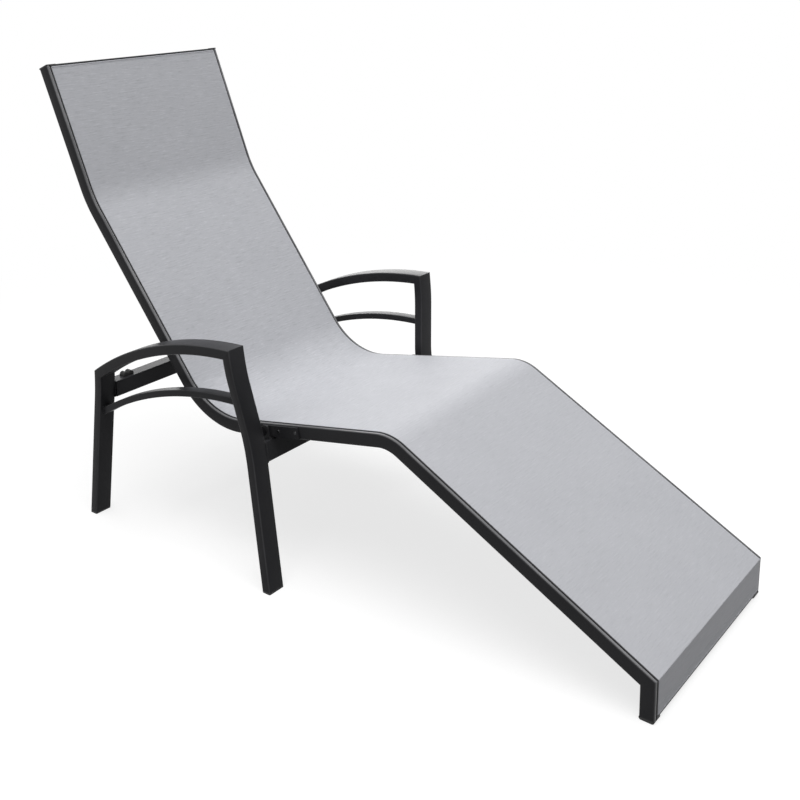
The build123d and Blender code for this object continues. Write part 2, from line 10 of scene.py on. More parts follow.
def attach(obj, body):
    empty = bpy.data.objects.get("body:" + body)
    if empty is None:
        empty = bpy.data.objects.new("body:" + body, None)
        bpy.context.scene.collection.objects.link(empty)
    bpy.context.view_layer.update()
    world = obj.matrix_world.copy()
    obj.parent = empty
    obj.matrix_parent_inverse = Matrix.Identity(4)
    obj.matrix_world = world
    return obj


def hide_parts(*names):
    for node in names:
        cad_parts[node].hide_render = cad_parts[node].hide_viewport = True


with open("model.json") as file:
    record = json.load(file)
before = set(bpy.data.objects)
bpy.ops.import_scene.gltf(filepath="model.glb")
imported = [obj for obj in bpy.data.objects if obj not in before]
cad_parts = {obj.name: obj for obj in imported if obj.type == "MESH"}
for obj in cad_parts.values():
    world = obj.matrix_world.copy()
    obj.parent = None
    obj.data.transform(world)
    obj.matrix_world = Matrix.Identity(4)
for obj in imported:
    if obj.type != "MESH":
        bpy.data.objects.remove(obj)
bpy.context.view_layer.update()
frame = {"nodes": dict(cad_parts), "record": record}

bl_info = {
    "name": "Tilting Sling Lounger",
    "version": (1, 0, 0),
    "blender": (4, 5, 0),
    "location": "3D View > Sidebar > Lounger",
    "description": "Builds the cloth, tubes and finishes of a tilting sling lounger",
    "category": "Object",
}

MM = 0.001
NODES = frame["nodes"]
SIDES = (("right", -1), ("left", 1))

# Side line of the tilting body, head to foot: runs and bends as the CAD source has them
RUN_LENGTHS = np.array((306.0, 566.0, 520.0, 662.0, 89.0)) * MM
RUN_ANGLES = np.radians((-69.0, -53.2, 11.2, -28.0, -86.6))
BEND_RADII = np.array((220.0, 160.0, 100.0)) * MM
RAIL_SPAN, RAIL_WIDTH, RAIL_DEPTH = 518 * MM, 25 * MM, 30 * MM
SLOT_MIDDLE, SLOT_EDGE = 8.25 * MM, 10.05 * MM
GLIDE_HEIGHT = 6 * MM
HEAD_MARGIN, FOOT_MARGIN = 3 * MM, 15.5 * MM
CLOTH_PROUD, TOE_RADIUS = 1.5 * MM, 1.2 * MM
CURL_EDGE, CURL_BEND = RAIL_SPAN / 2 - SLOT_EDGE + 0.65 * MM, 1.9 * MM
CURL_START = CURL_EDGE - CURL_BEND
HEAD_CAP = 2.5 * MM

# Base: sizes of the tubes and the lines that they follow
FRONT_BAR_STATION, FRONT_BAR_DEPTH = 185.4 * MM, 55.5 * MM
TUBE_WIDTH, TUBE_DEPTH, TUBE_EDGE = 44 * MM, 22 * MM, 3 * MM
ARM_HALF, WAIST_HALF, FOOT_HALF = 328 * MM, 303 * MM, 352.5 * MM
ARM_HEIGHT, ARM_RADIUS, ARM_THICK, ARM_CREST = 525 * MM, 850 * MM, 23 * MM, 30 * MM
ARM_SHOULDER, WAIST_BLEND, SHOULDER_BLEND = 472 * MM, 45 * MM, 30 * MM
LOWER_DROP, LOWER_SETBACK, LOWER_WIDTH, LOWER_THICK = 114 * MM, 20 * MM, 25 * MM, 15 * MM
FRONT_BAR_SIZE, REAR_BAR_SIZE = (22 * MM, 45 * MM), (34 * MM, 38 * MM)
BAR_TOP_DEPTH = FRONT_BAR_DEPTH - FRONT_BAR_SIZE[1] / 2
BAR_SPACING, REAR_BAR_RISE, WAIST_RISE = 468 * MM, 38.9 * MM, 20.8 * MM
LEG_CAP, MITRE_CLEAR = 4 * MM, 1 * MM
WAIST_ROWS, SHOULDER_ROWS, ARC_ROWS = 25, 17, 40
LOWER_EDGE, LOWER_OVERLAP = 2 * MM, 3 * MM
BEAD_PITCH, BEAD_STEP, BEAD_RIPPLE = 3 * MM, 0.75 * MM, 0.1
LOWER_BEAD_SHARE, BRACKET_BEAD_SHARE = 0.8, 0.55
BRACKETS = {"inner": 231.5 * MM, "outer": 266 * MM}
BRACKET_THICK, BRACKET_SHORT, BRACKET_EDGE = 4 * MM, 6 * MM, 1 * MM

# Rods and cloth in the rails' grooves, and the cloth's folds and stitches at its two hems
KEDER_RADIUS, KEDER_EDGE, KEDER_DEPTH, KEDER_SHORT = 2.5 * MM, 2.49 * MM, 5.05 * MM, 1 * MM
CLOTH_MIDDLE, DIVE_DEPTHS = 0.9 * MM, (2.2 * MM, 3.6 * MM)
CLOTH_SHORT, ROW_SPACING, RIPPLE_FADE, END_ROW_SHARE = 1 * MM, 12 * MM, 60 * MM, 0.04
CURL_PLACES, FLAT_PLACES, HEM_PLACES = 8, 42, 81
FOLD_HEIGHT, FOLD_WIDTH, FOLD_END = 2.1 * MM, 2.2 * MM, 3.2 * MM
HEM_TOP, HEM_UNDER, HEM_SIDE = 0.55 * MM, 0.4 * MM, 1.6 * MM
HEM_ROUNDS = np.array((0.9, 0.9, 0.6, 0.3, 0.3, 0.3)) * MM
HEM_PUCKER, PUCKER_RADIANS_TO_METRE = 0.06 * MM, 130
STITCH_HEIGHT, STITCH_SIDE, STITCH_RADIUS = 1.4 * MM, 3 * MM, 0.3 * MM
STITCH_RISE, STITCH_SINK, STITCH_HALF_SHARE = 0.35 * MM, 0.25 * MM, 0.4
STITCH_ROWS, STITCH_SIDES = 7, 6
OUTER_ROW, INNER_ROW = 5 * MM, 2.5 * MM

# Viewpoint solved from the photograph
CAMERA_AZIMUTH, CAMERA_ELEVATION, CAMERA_ROLL = radians(37.970), radians(22.089), radians(-0.412)
CAMERA_PLACE, CAMERA_SHIFT, CAMERA_CLIP = (1.34099, -1.73439, 1.27664), (0.0196, -0.0276), (0.05, 100)

# Floor, and the lamps' places, aims and sizes, in metres
FLOOR_REACH, FLOOR_DROP = 30.0, 0.3 * MM
FLOOR_NEAR, FLOOR_FAR, FLOOR_GREY, FLOOR_GLOW = 1.1, 2.6, 0.34, 0.76
LAMPS = {"softbox": ((0.3, -0.3, 6.4), (0, 0, 0.3), 6.4),
         "far_softbox": ((-2.7, 2.75, 1.8), (-0.3, 0, 0.45), 3.0)}
SETTLING_ROUNDS = 12


# Shapes

def directions(angles):
    """Unit vectors of runs, and the ones at a right angle to them that point under the rails."""
    along = np.stack((np.cos(angles), np.sin(angles)), -1)
    return along, np.stack((along[:, 1], -along[:, 0]), -1)


ALONG, DOWN = directions(RUN_ANGLES)


def find_corners():
    """Corners of the side line, summed back from the toe so that the whole is centred on x = 0."""
    back = (RUN_LENGTHS * ALONG[:, 0]).sum() + HEAD_CAP * ALONG[0, 0] - RAIL_DEPTH * DOWN[0, 0]
    front = DOWN[4] * -CLOTH_PROUD
    front = front + ALONG[4] * (FOOT_MARGIN - front[1]) / ALONG[4, 1]
    toe = np.array(((back - front[0]) / 2, 0))
    steps = RUN_LENGTHS[::-1, None] * ALONG[::-1]
    return toe - np.cumsum(steps, 0)[::-1]


CORNERS = find_corners()


def on_run(index, station, depth):
    """Point on a run: station along it from its upper corner, depth under its top face."""
    return CORNERS[index] + ALONG[index] * station + DOWN[index] * depth


def side_line(depths, head_trim, foot_height, foot_radius=0.0, spacing=None, arc_step=1.5):
    """The side line at several depths at once, as (rows, depths, 2).

    A corner at depth d is V + d(n1 + n2)/(1 + n1.n2). A bend is A + r(sin t u + (1 - cos t) c),
    where A is r tan(turn/2) before the corner, u the run, c the unit vector to the centre and r
    the radius at that depth: R + d with the centre above the line and R - d with it below.
    """
    depths = np.atleast_1d(np.asarray(depths, float))[:, None]
    rows = [CORNERS[0] + ALONG[0] * head_trim + DOWN[0] * depths]
    radii = list(BEND_RADII) + [foot_radius]
    bends = []
    for i in range(1, 5):
        turn = RUN_ANGLES[i] - RUN_ANGLES[i - 1]
        both = DOWN[i - 1] + DOWN[i]
        corner = CORNERS[i] + both * depths / (1 + DOWN[i - 1] @ DOWN[i])
        if radii[i - 1] == 0:
            bends.append(corner[None])
            continue
        up = np.sign(turn)
        radius = radii[i - 1] + up * depths
        start = corner - ALONG[i - 1] * radius * tan(abs(turn) / 2)
        count = max(4, int(round(np.degrees(abs(turn)) / arc_step)))
        t = np.linspace(0, abs(turn), count + 1)[:, None, None]
        bends.append(start + radius * (np.sin(t) * ALONG[i - 1] - (1 - np.cos(t)) * up * DOWN[i - 1]))
    end = bends[-1][-1]
    bends.append((end + ALONG[4] * ((foot_height - end[:, 1:]) / ALONG[4, 1]))[None])
    for bend in bends:
        gap = bend[0] - rows[-1]
        if spacing:
            count = max(1, int(round(np.linalg.norm(gap, axis=1).mean() / spacing)))
            rows.extend(list(rows[-1] + gap * np.linspace(0, 1, count + 1)[1:-1, None, None]))
        rows.extend(bend)
    return np.stack(rows)


def rounded(points, radii, steps=5):
    """Closed outline with its corners as arcs, and a mark that rises from 0 to 1 and back on each arc.

    A corner's arc has its centre on the corner's bisector, r / sin(half angle) away.
    """
    points = np.asarray(points, float)
    radii = np.broadcast_to(radii, len(points))
    out, marks = [], []
    for i, corner in enumerate(points):
        before = points[i - 1] - corner
        after = points[(i + 1) % len(points)] - corner
        before, after = before / np.linalg.norm(before), after / np.linalg.norm(after)
        if radii[i] == 0:
            out.append(corner[None])
            marks.append([0.0])
            continue
        half = np.arccos(np.clip(before @ after, -1, 1)) / 2
        centre = corner + (before + after) / np.linalg.norm(before + after) * radii[i] / sin(half)
        start = corner + before * radii[i] / tan(half) - centre
        end = corner + after * radii[i] / tan(half) - centre
        t = np.linspace(0, 1, steps + 1)[:, None]
        arc = start * np.sin((1 - t) * (pi / 2 - half) * 2) + end * np.sin(t * (pi / 2 - half) * 2)
        out.append(centre + arc / np.linalg.norm(arc, axis=1)[:, None] * radii[i])
        marks.append(np.sin(np.linspace(0, pi, steps + 1)))
    return np.concatenate(out), np.concatenate(marks)


def box_section(width, height, edge):
    """Rectangle with rounded corners centred on its own origin, and its corner marks."""
    return rounded(np.array(((-1, -1), (1, -1), (1, 1), (-1, 1))) * (width / 2, height / 2), edge)


def point_inward(points, quads):
    """Whether a closed skin's quads point to its middle, by the sign of the volume that they enclose."""
    a, b, c, d = (points[quads[:, k]] for k in range(4))
    return (np.cross(c - a, d - b) * (a - points.mean(0))).sum() < 0


def skin(name, grid, material, body, around=False, uv=None, corner=None, sharp=32):
    """Object whose vertex (i, j) is grid[i, j], joined in quads; around closes j and caps i's ends."""
    rows, cols = grid.shape[:2]
    index = np.arange(rows * cols).reshape(rows, cols)
    wide = np.concatenate((index, index[:, :1]), 1) if around else index
    quads = np.stack((wide[:-1, :-1], wide[1:, :-1], wide[1:, 1:], wide[:-1, 1:]), -1).reshape(-1, 4)
    faces = quads.tolist()
    if around:
        faces += [index[0].tolist(), index[-1, ::-1].tolist()]
        if point_inward(grid.reshape(-1, 3), quads):
            faces = [face[::-1] for face in faces]
    mesh = bpy.data.meshes.new(name)
    mesh.from_pydata(grid.reshape(-1, 3).tolist(), [], faces)
    mesh.validate()
    if uv is not None:
        loops = np.zeros(len(mesh.loops), int)
        mesh.loops.foreach_get("vertex_index", loops)
        mesh.uv_layers.new(name="cloth").data.foreach_set("uv", uv.reshape(-1, 2)[loops].ravel())
    if corner is not None:
        marks = np.broadcast_to(corner, (rows, cols)).ravel().astype(np.float32)
        mesh.attributes.new("corner", "FLOAT", "POINT").data.foreach_set("value", marks)
    return finish_mesh(name, mesh, material, body, sharp)


def finish_mesh(name, mesh, material, body, sharp=32):
    """Shade a mesh, link it as an object at the origin and let it ride on its CAD body."""
    mesh.shade_smooth()
    mesh.set_sharp_from_angle(angle=radians(sharp))
    mesh.materials.append(material)
    piece = bpy.data.objects.new(name, mesh)
    bpy.context.scene.collection.objects.link(piece)
    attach(piece, body)
    return piece


def swept_side(profile, side, head_trim, foot_height, **line):
    """A profile of (inset from the outer face, depth) carried along the side line, as (rows, n, 3)."""
    path = side_line(profile[:, 1], head_trim, foot_height, **line)
    out = side * (RAIL_SPAN / 2 - profile[:, 0])
    return np.stack((path[..., 0], np.broadcast_to(out, path.shape[:2]), path[..., 1]), -1)


def slope_turn(height, knot, change, blend):
    """Shift above a knot where a slope changes by change: a parabola inside the blend, a line above."""
    rise = height - knot
    eased = change * np.clip(rise + blend, 0, None) ** 2 / (4 * blend)
    return np.where(rise >= blend, change * rise, eased)


FRONT_BAR = on_run(2, FRONT_BAR_STATION, FRONT_BAR_DEPTH)
REAR_BAR = FRONT_BAR + (-BAR_SPACING, REAR_BAR_RISE)
WAIST = FRONT_BAR[1] + WAIST_RISE
LOWER_SLOPE, UPPER_SLOPE = -tan(radians(14.8)), -tan(radians(6.3))
LOWER_SPREAD = (WAIST_HALF - FOOT_HALF) / WAIST
UPPER_SPREAD = (ARM_HALF - WAIST_HALF) / (ARM_SHOULDER - WAIST)
REAR_SLOPE = tan(radians(6.9))


def front_leg_line(height):
    """Centre of the front leg at a height: forward, out. Two slopes each, eased at waist and top."""
    height = np.asarray(height, float)
    forward = FRONT_BAR[0] + LOWER_SLOPE * (height - FRONT_BAR[1])
    forward = forward + slope_turn(height, WAIST, UPPER_SLOPE - LOWER_SLOPE, WAIST_BLEND)
    out = FOOT_HALF + LOWER_SPREAD * height
    out = out + slope_turn(height, WAIST, UPPER_SPREAD - LOWER_SPREAD, WAIST_BLEND)
    return forward, out + slope_turn(height, ARM_SHOULDER, -UPPER_SPREAD, SHOULDER_BLEND)


ARM_CENTRE = np.array((front_leg_line(ARM_HEIGHT)[0] + TUBE_DEPTH / 2 + ARM_CREST,
                       ARM_HEIGHT - sqrt(ARM_RADIUS ** 2 - ARM_CREST ** 2)))


def rear_forward(height):
    """Forward place of the rear leg's centre: one straight slope."""
    return REAR_BAR[0] + REAR_SLOPE * (np.asarray(height, float) - REAR_BAR[1])


def circle_height(centre, radius, forward):
    """Height of a circle's upper half at a forward place: the centre's plus sqrt(r^2 - run^2)."""
    return centre[1] + sqrt(radius ** 2 - (forward - centre[0]) ** 2)


def arm_corner(forward_at, offset, radius):
    """Where a leg's face meets a circle round the armrest's centre, by repeated substitution."""
    height = ARM_HEIGHT
    for _ in range(SETTLING_ROUNDS):
        forward = float(forward_at(height)) + offset
        height = circle_height(ARM_CENTRE, radius, forward)
    return np.array((forward, height))


def front_forward(height):
    """Forward place of the front leg's centre."""
    return front_leg_line(height)[0]


INNER_RADIUS = ARM_RADIUS - ARM_THICK
MITRES = {
    "front": (arm_corner(front_forward, TUBE_DEPTH / 2, ARM_RADIUS),
              arm_corner(front_forward, -TUBE_DEPTH / 2, INNER_RADIUS)),
    "rear": (arm_corner(rear_forward, -TUBE_DEPTH / 2, ARM_RADIUS),
             arm_corner(rear_forward, TUBE_DEPTH / 2, INNER_RADIUS)),
}
REAR_SHOULDER = MITRES["rear"][1][1] - SHOULDER_BLEND
REAR_SPREAD = (ARM_HALF - FOOT_HALF) / REAR_SHOULDER


def rear_leg_line(height):
    """Centre of the rear leg at a height: straight, with its spread eased out under the armrest."""
    height = np.asarray(height, float)
    out = FOOT_HALF + REAR_SPREAD * height
    return rear_forward(height), out + slope_turn(height, REAR_SHOULDER, -REAR_SPREAD, SHOULDER_BLEND)


LEG_LINES = {"front": front_leg_line, "rear": rear_leg_line}


def leg_grid(place, side):
    """A rounded rectangle carried up the leg's centre line; the top row lies in the mitre plane."""
    box, marks = box_section(TUBE_DEPTH, TUBE_WIDTH, TUBE_EDGE)
    line = LEG_LINES[place]
    outer, inner = MITRES[place]
    slope = (outer[1] - inner[1]) / (outer[0] - inner[0])
    heights = [LEG_CAP]
    if place == "front":
        heights += list(np.linspace(WAIST - WAIST_BLEND, WAIST + WAIST_BLEND, WAIST_ROWS))
    shoulder = ARM_SHOULDER if place == "front" else REAR_SHOULDER
    heights += list(np.linspace(shoulder - SHOULDER_BLEND, inner[1] - MITRE_CLEAR, SHOULDER_ROWS))
    heights = np.array(heights)[:, None] * np.ones(len(box))
    top = np.full(len(box), inner[1])
    for _ in range(SETTLING_ROUNDS):
        top = outer[1] + (line(top)[0] + box[:, 0] - outer[0]) * slope
    heights = np.concatenate((heights, top[None]))
    forward, out = line(heights)
    return np.stack((forward + box[:, 0], side * out + box[:, 1], heights), -1), marks


def arc_grid(centre, radius, thick, width, edge, starts, ends, middle):
    """A rounded rectangle carried round a wide circle between two slanted cuts.

    A point of the section at radius q runs from the angle where its own start line meets its
    circle to the angle where its end line does, in even steps; middle gives its place across.
    """
    box, marks = rounded([(0, -width / 2), (thick, -width / 2), (thick, width / 2), (0, width / 2)], edge)
    share = (box[:, 0] / thick)[:, None]
    angles = []
    for outer, inner in (starts, ends):
        point = outer + (inner - outer) * share - centre
        angles.append(np.arctan2(point[:, 0], point[:, 1]))
    t = np.linspace(0, 1, ARC_ROWS)[:, None]
    angle = angles[0] + (angles[1] - angles[0]) * t
    q = radius - box[:, 0]
    forward, height = centre[0] + q * np.sin(angle), centre[1] + q * np.cos(angle)
    return np.stack((forward, middle(forward) + box[:, 1], height), -1), marks


def lower_bar_line():
    """Lower arm bar's upper arc: its centre, the (forward, out) of both ends and its slope outwards.

    An end is its leg's centre: forward at a fixed height, out at the arc's own height there.
    """
    centre = ARM_CENTRE - np.array((LOWER_SETBACK, LOWER_DROP))
    ends = []
    for line, height in ((front_leg_line, ARM_HEIGHT - LOWER_DROP), (rear_leg_line, REAR_BAR[1])):
        forward = float(line(height)[0])
        ends.append((forward, float(line(circle_height(centre, ARM_RADIUS, forward))[1])))
    front, rear = ends
    return centre, front, rear, (front[1] - rear[1]) / (front[0] - rear[0])


def tube(path, radius, sides=8):
    """Round tube on a closed path: a circle in the plane of the path's normal and a fixed side."""
    ahead = np.roll(path, -1, 0) - np.roll(path, 1, 0)
    ahead /= np.linalg.norm(ahead, axis=1)[:, None]
    aside = path - path.mean(0)
    aside -= (aside * ahead).sum(1)[:, None] * ahead
    aside /= np.linalg.norm(aside, axis=1)[:, None]
    third = np.cross(ahead, aside)
    t = np.linspace(0, 2 * pi, sides, endpoint=False)[None, :, None]
    radius = np.broadcast_to(radius, len(path))[:, None, None]
    ring = aside[:, None] * np.cos(t) + third[:, None] * np.sin(t)
    return path[:, None] + ring * radius


# Finishes

def new_group(name, inputs, outputs):
    """Shader node group with named sockets; each is (name, socket type, default)."""
    group = bpy.data.node_groups.new(name, "ShaderNodeTree")
    for label, kind, value in inputs:
        socket = group.interface.new_socket(name=label, in_out="INPUT", socket_type=kind)
        if value is not None:
            socket.default_value = value
    for label, kind in outputs:
        group.interface.new_socket(name=label, in_out="OUTPUT", socket_type=kind)
    return group, group.nodes.new("NodeGroupInput"), group.nodes.new("NodeGroupOutput")


def fill(tree, socket, value):
    """Set a node's input: a socket is linked to it, a number or colour becomes its own value."""
    if isinstance(value, (int, float, tuple)):
        socket.default_value = value
    else:
        tree.links.new(value, socket)


def math_node(tree, operation, a, b=None):
    """Math node on one or two values or sockets; gives its output."""
    node = tree.nodes.new("ShaderNodeMath")
    node.operation = operation
    fill(tree, node.inputs[0], a)
    if b is not None:
        fill(tree, node.inputs[1], b)
    return node.outputs[0]


def sums(tree):
    """Functions that add, subtract and multiply in one node tree."""
    return [partial(math_node, tree, kind) for kind in ("ADD", "SUBTRACT", "MULTIPLY")]


def noise_node(tree, vector, scale, detail=2.0):
    """Noise texture's value at a vector."""
    node = tree.nodes.new("ShaderNodeTexNoise")
    fill(tree, node.inputs["Scale"], scale)
    node.inputs["Detail"].default_value = detail
    tree.links.new(vector, node.inputs["Vector"])
    return node.outputs["Fac"]


def stretch(tree, vector, scale):
    """Vector scaled per axis by a Mapping node."""
    node = tree.nodes.new("ShaderNodeMapping")
    node.inputs["Scale"].default_value = scale
    tree.links.new(vector, node.inputs["Vector"])
    return node.outputs[0]


def blend_colour(tree, share, a, b):
    """Colour between a and b by a share from 0 to 1."""
    node = tree.nodes.new("ShaderNodeMix")
    node.data_type = "RGBA"
    for number, value in ((0, share), (6, a), (7, b)):
        fill(tree, node.inputs[number], value)
    return node.outputs[2]


def map_range(tree, value, low, high, new_low, new_high):
    """Value carried from one range to another and kept inside it."""
    node = tree.nodes.new("ShaderNodeMapRange")
    for socket, number in zip(list(node.inputs)[1:5], (low, high, new_low, new_high)):
        socket.default_value = number
    tree.links.new(value, node.inputs[0])
    return node.outputs[0]


FINISH_OUTPUTS = (("Colour", "NodeSocketColor"), ("Roughness", "NodeSocketFloat"),
                  ("Height", "NodeSocketFloat"))


def put_out(group, result, *sockets):
    """Link sockets to a group's outputs, in the order of FINISH_OUTPUTS."""
    for (label, _), socket in zip(FINISH_OUTPUTS, sockets):
        group.links.new(socket, result.inputs[label])


def make_grain_group():
    """Fine grain of paint, plastic and rubber: pitted height, soft tone patches, worn corners and a painted
    highlight on the rails' lips.

    Tone is patches plus specks, each cut off below a level. The light colour of corner wear and of the
    painted lip highlight is mixed in by the mesh's corner mark, more where a patch is high.
    """
    group, given, result = new_group(
        "fine_grain",
        (("Grain", "NodeSocketFloat", 900.0), ("Patch", "NodeSocketFloat", 9.0),
         ("Dark", "NodeSocketColor", None), ("Light", "NodeSocketColor", None),
         ("Smooth", "NodeSocketFloat", 0.3), ("Dull", "NodeSocketFloat", 0.5),
         ("Worn", "NodeSocketColor", (0.2, 0.2, 0.2, 1.0))),
        FINISH_OUTPUTS)
    add, subtract, times = sums(group)
    place = group.nodes.new("ShaderNodeTexCoord").outputs["Object"]
    pits = noise_node(group, place, given.outputs["Grain"], 3.0)
    patches = noise_node(group, place, given.outputs["Patch"], 4.0)
    corner = group.nodes.new("ShaderNodeAttribute")
    corner.attribute_name = "corner"
    # Wear on the tube corners and a painted highlight on the rails' lips, both laid on by the corner mark
    wear_and_highlight = times(corner.outputs["Fac"], map_range(group, patches, 0.35, 0.65, 0.5, 1.0))
    tone = map_range(group, patches, 0.3, 0.7, 0.0, 0.35)
    speck = map_range(group, pits, 0.45, 0.75, 0.0, 0.35)
    plain = blend_colour(group, add(tone, speck), given.outputs["Dark"], given.outputs["Light"])
    colour = blend_colour(group, wear_and_highlight, plain, given.outputs["Worn"])
    gloss = add(times(pits, 0.5), times(patches, 0.5))
    span = subtract(given.outputs["Dull"], given.outputs["Smooth"])
    roughness = add(given.outputs["Smooth"], times(span, gloss))
    put_out(group, result, colour, roughness, pits)
    return group


# Slubs: the noise's scale to a metre across the sling and along it, which draws it out into dashes,
# the stretch of the sling over which they grow fainter, and the ramp of painted groove shade past its edge
LONG_SLUBS, SHORT_SLUBS = (30.0, 330.0, 1.0), (110.0, 620.0, 1.0)
LONG_SHARE, SHORT_SHARE = 0.6, 0.4
SLUB_FADE, GROOVE_SHADE_RAMP = (0.9, 1.5), (0.2 * MM, 1.4 * MM)


def make_weave_group():
    """Plain weave with slubs on cloth laid out in metres: threads, thick yarns and tone.

    Height is the higher of two rows of round threads that pass over and under in turn,
    |sin| across each thread times a share that follows the sine of the other direction.
    Slubs are noise drawn out to short thin dashes across the sling, kept only where it is high or low,
    and fainter towards the foot. Past Edge, where the cloth dives into the grooves, the grooves' shade
    is painted on as a dark colour.
    """
    group, given, result = new_group(
        "slub_weave",
        (("Vector", "NodeSocketVector", None), ("Threads", "NodeSocketFloat", 700.0),
         ("Slubs", "NodeSocketFloat", 1.0), ("Edge", "NodeSocketFloat", 0.25),
         ("Dark", "NodeSocketColor", None), ("Light", "NodeSocketColor", None),
         # Dark colour painted on as shade where the cloth lies in the rails' grooves
         ("Buried", "NodeSocketColor", (0.06, 0.06, 0.062, 1.0))),
        FINISH_OUTPUTS)
    add, subtract, times = sums(group)
    place = given.outputs["Vector"]
    parts = group.nodes.new("ShaderNodeSeparateXYZ")
    group.links.new(place, parts.inputs[0])
    across, along = parts.outputs[0], parts.outputs[1]
    turns = times(given.outputs["Threads"], pi)
    waves = [math_node(group, "SINE", times(way, turns)) for way in (across, along)]
    checker = times(times(waves[0], waves[1]), 0.5)
    rounds = [math_node(group, "ABSOLUTE", wave) for wave in waves]
    over = times(rounds[0], add(0.5, checker))
    under = times(rounds[1], subtract(0.5, checker))
    threads = math_node(group, "MAXIMUM", over, under)
    long_slubs = noise_node(group, stretch(group, place, LONG_SLUBS), 1.0, 1.0)
    short_slubs = noise_node(group, stretch(group, place, SHORT_SLUBS), 1.0, 1.0)
    yarn = add(times(long_slubs, LONG_SHARE), times(short_slubs, SHORT_SHARE))
    raised = map_range(group, yarn, 0.54, 0.68, 0.0, 1.0)
    sunk = map_range(group, yarn, 0.32, 0.46, 1.0, 0.0)
    slub = times(subtract(raised, sunk), given.outputs["Slubs"])
    slub = times(slub, map_range(group, along, *SLUB_FADE, 1.0, 0.5))
    # Painted shade: past Edge the cloth is mixed towards a dark colour that stands in for the grooves' shade
    past_edge = subtract(math_node(group, "ABSOLUTE", across), given.outputs["Edge"])
    groove_shade = map_range(group, past_edge, *GROOVE_SHADE_RAMP, 0.0, 1.0)
    cloud = map_range(group, noise_node(group, place, 7.0, 4.0), 0.3, 0.7, -0.05, 0.05)
    tone = add(add(add(times(threads, 0.05), cloud), 0.45), times(slub, 0.3))
    woven = blend_colour(group, tone, given.outputs["Dark"], given.outputs["Light"])
    colour = blend_colour(group, groove_shade, woven, given.outputs["Buried"])
    roughness = map_range(group, slub, -1.0, 1.0, 0.74, 0.56)
    put_out(group, result, colour, roughness, add(times(threads, 0.1), times(slub, 0.35)))
    return group


def rgba(colour):
    """Property colour as four numbers."""
    return (colour[0], colour[1], colour[2], 1.0)


# Each finish: numbers of its node group, colours (a setting's name or a fixed colour), grey of the
# solid view where the colours are fixed, and the shader's specular, bump strength and bump height in mm
FINISHES = {
    "powder_coat": {
        "inputs": {"Grain": 1100.0, "Patch": 7.0, "Smooth": 0.3, "Dull": 0.44},
        "colours": {"Dark": "paint_dark", "Light": "paint_light", "Worn": "paint_worn"},
        "specular": 0.08, "bump": 0.25, "reach": 0.15},
    "weld_paint": {
        "inputs": {"Grain": 500.0, "Patch": 60.0, "Smooth": 0.3, "Dull": 0.46},
        "colours": {"Dark": "paint_dark", "Light": "paint_light"},
        "specular": 0.08, "bump": 0.4, "reach": 0.3},
    "sling_cloth": {
        "inputs": {"Threads": 950.0, "Slubs": 1.15, "Edge": CURL_START},
        "colours": {"Dark": "cloth_dark", "Light": "cloth_light"},
        "specular": 0.25, "bump": 0.35, "reach": 0.25, "sheen": 0.08, "uv": "cloth"},
    "sewing_thread": {
        "inputs": {"Grain": 2500.0, "Patch": 90.0, "Smooth": 0.45, "Dull": 0.65},
        "colours": {"Dark": "cloth_dark", "Light": "cloth_light"},
        "specular": 0.3, "bump": 0.3, "reach": 0.1},
    "moulded_plastic": {
        "inputs": {"Grain": 1800.0, "Patch": 14.0, "Smooth": 0.4, "Dull": 0.62},
        "colours": {"Dark": (0.009, 0.009, 0.009), "Light": (0.03, 0.03, 0.031)}, "view": 0.03,
        "specular": 0.4, "bump": 0.2, "reach": 0.1},
    "keder_plastic": {
        "inputs": {"Grain": 1200.0, "Patch": 20.0, "Smooth": 0.4, "Dull": 0.6},
        "colours": {"Dark": (0.16, 0.165, 0.17), "Light": (0.3, 0.305, 0.31)}, "view": 0.3,
        "specular": 0.4, "bump": 0.1, "reach": 0.1},
    "buffer_rubber": {
        "inputs": {"Grain": 1500.0, "Patch": 30.0, "Smooth": 0.3, "Dull": 0.55},
        "colours": {"Dark": (0.006, 0.006, 0.006), "Light": (0.02, 0.02, 0.021)}, "view": 0.02,
        "specular": 0.5, "bump": 0.2, "reach": 0.15},
    "blackened_steel": {
        "inputs": {"Grain": 700.0, "Patch": 40.0, "Smooth": 0.28, "Dull": 0.45},
        "colours": {"Dark": (0.03, 0.03, 0.032), "Light": (0.09, 0.09, 0.095)}, "view": 0.09,
        "specular": 0.5, "bump": 0.15, "reach": 0.1, "metallic": 0.85},
}


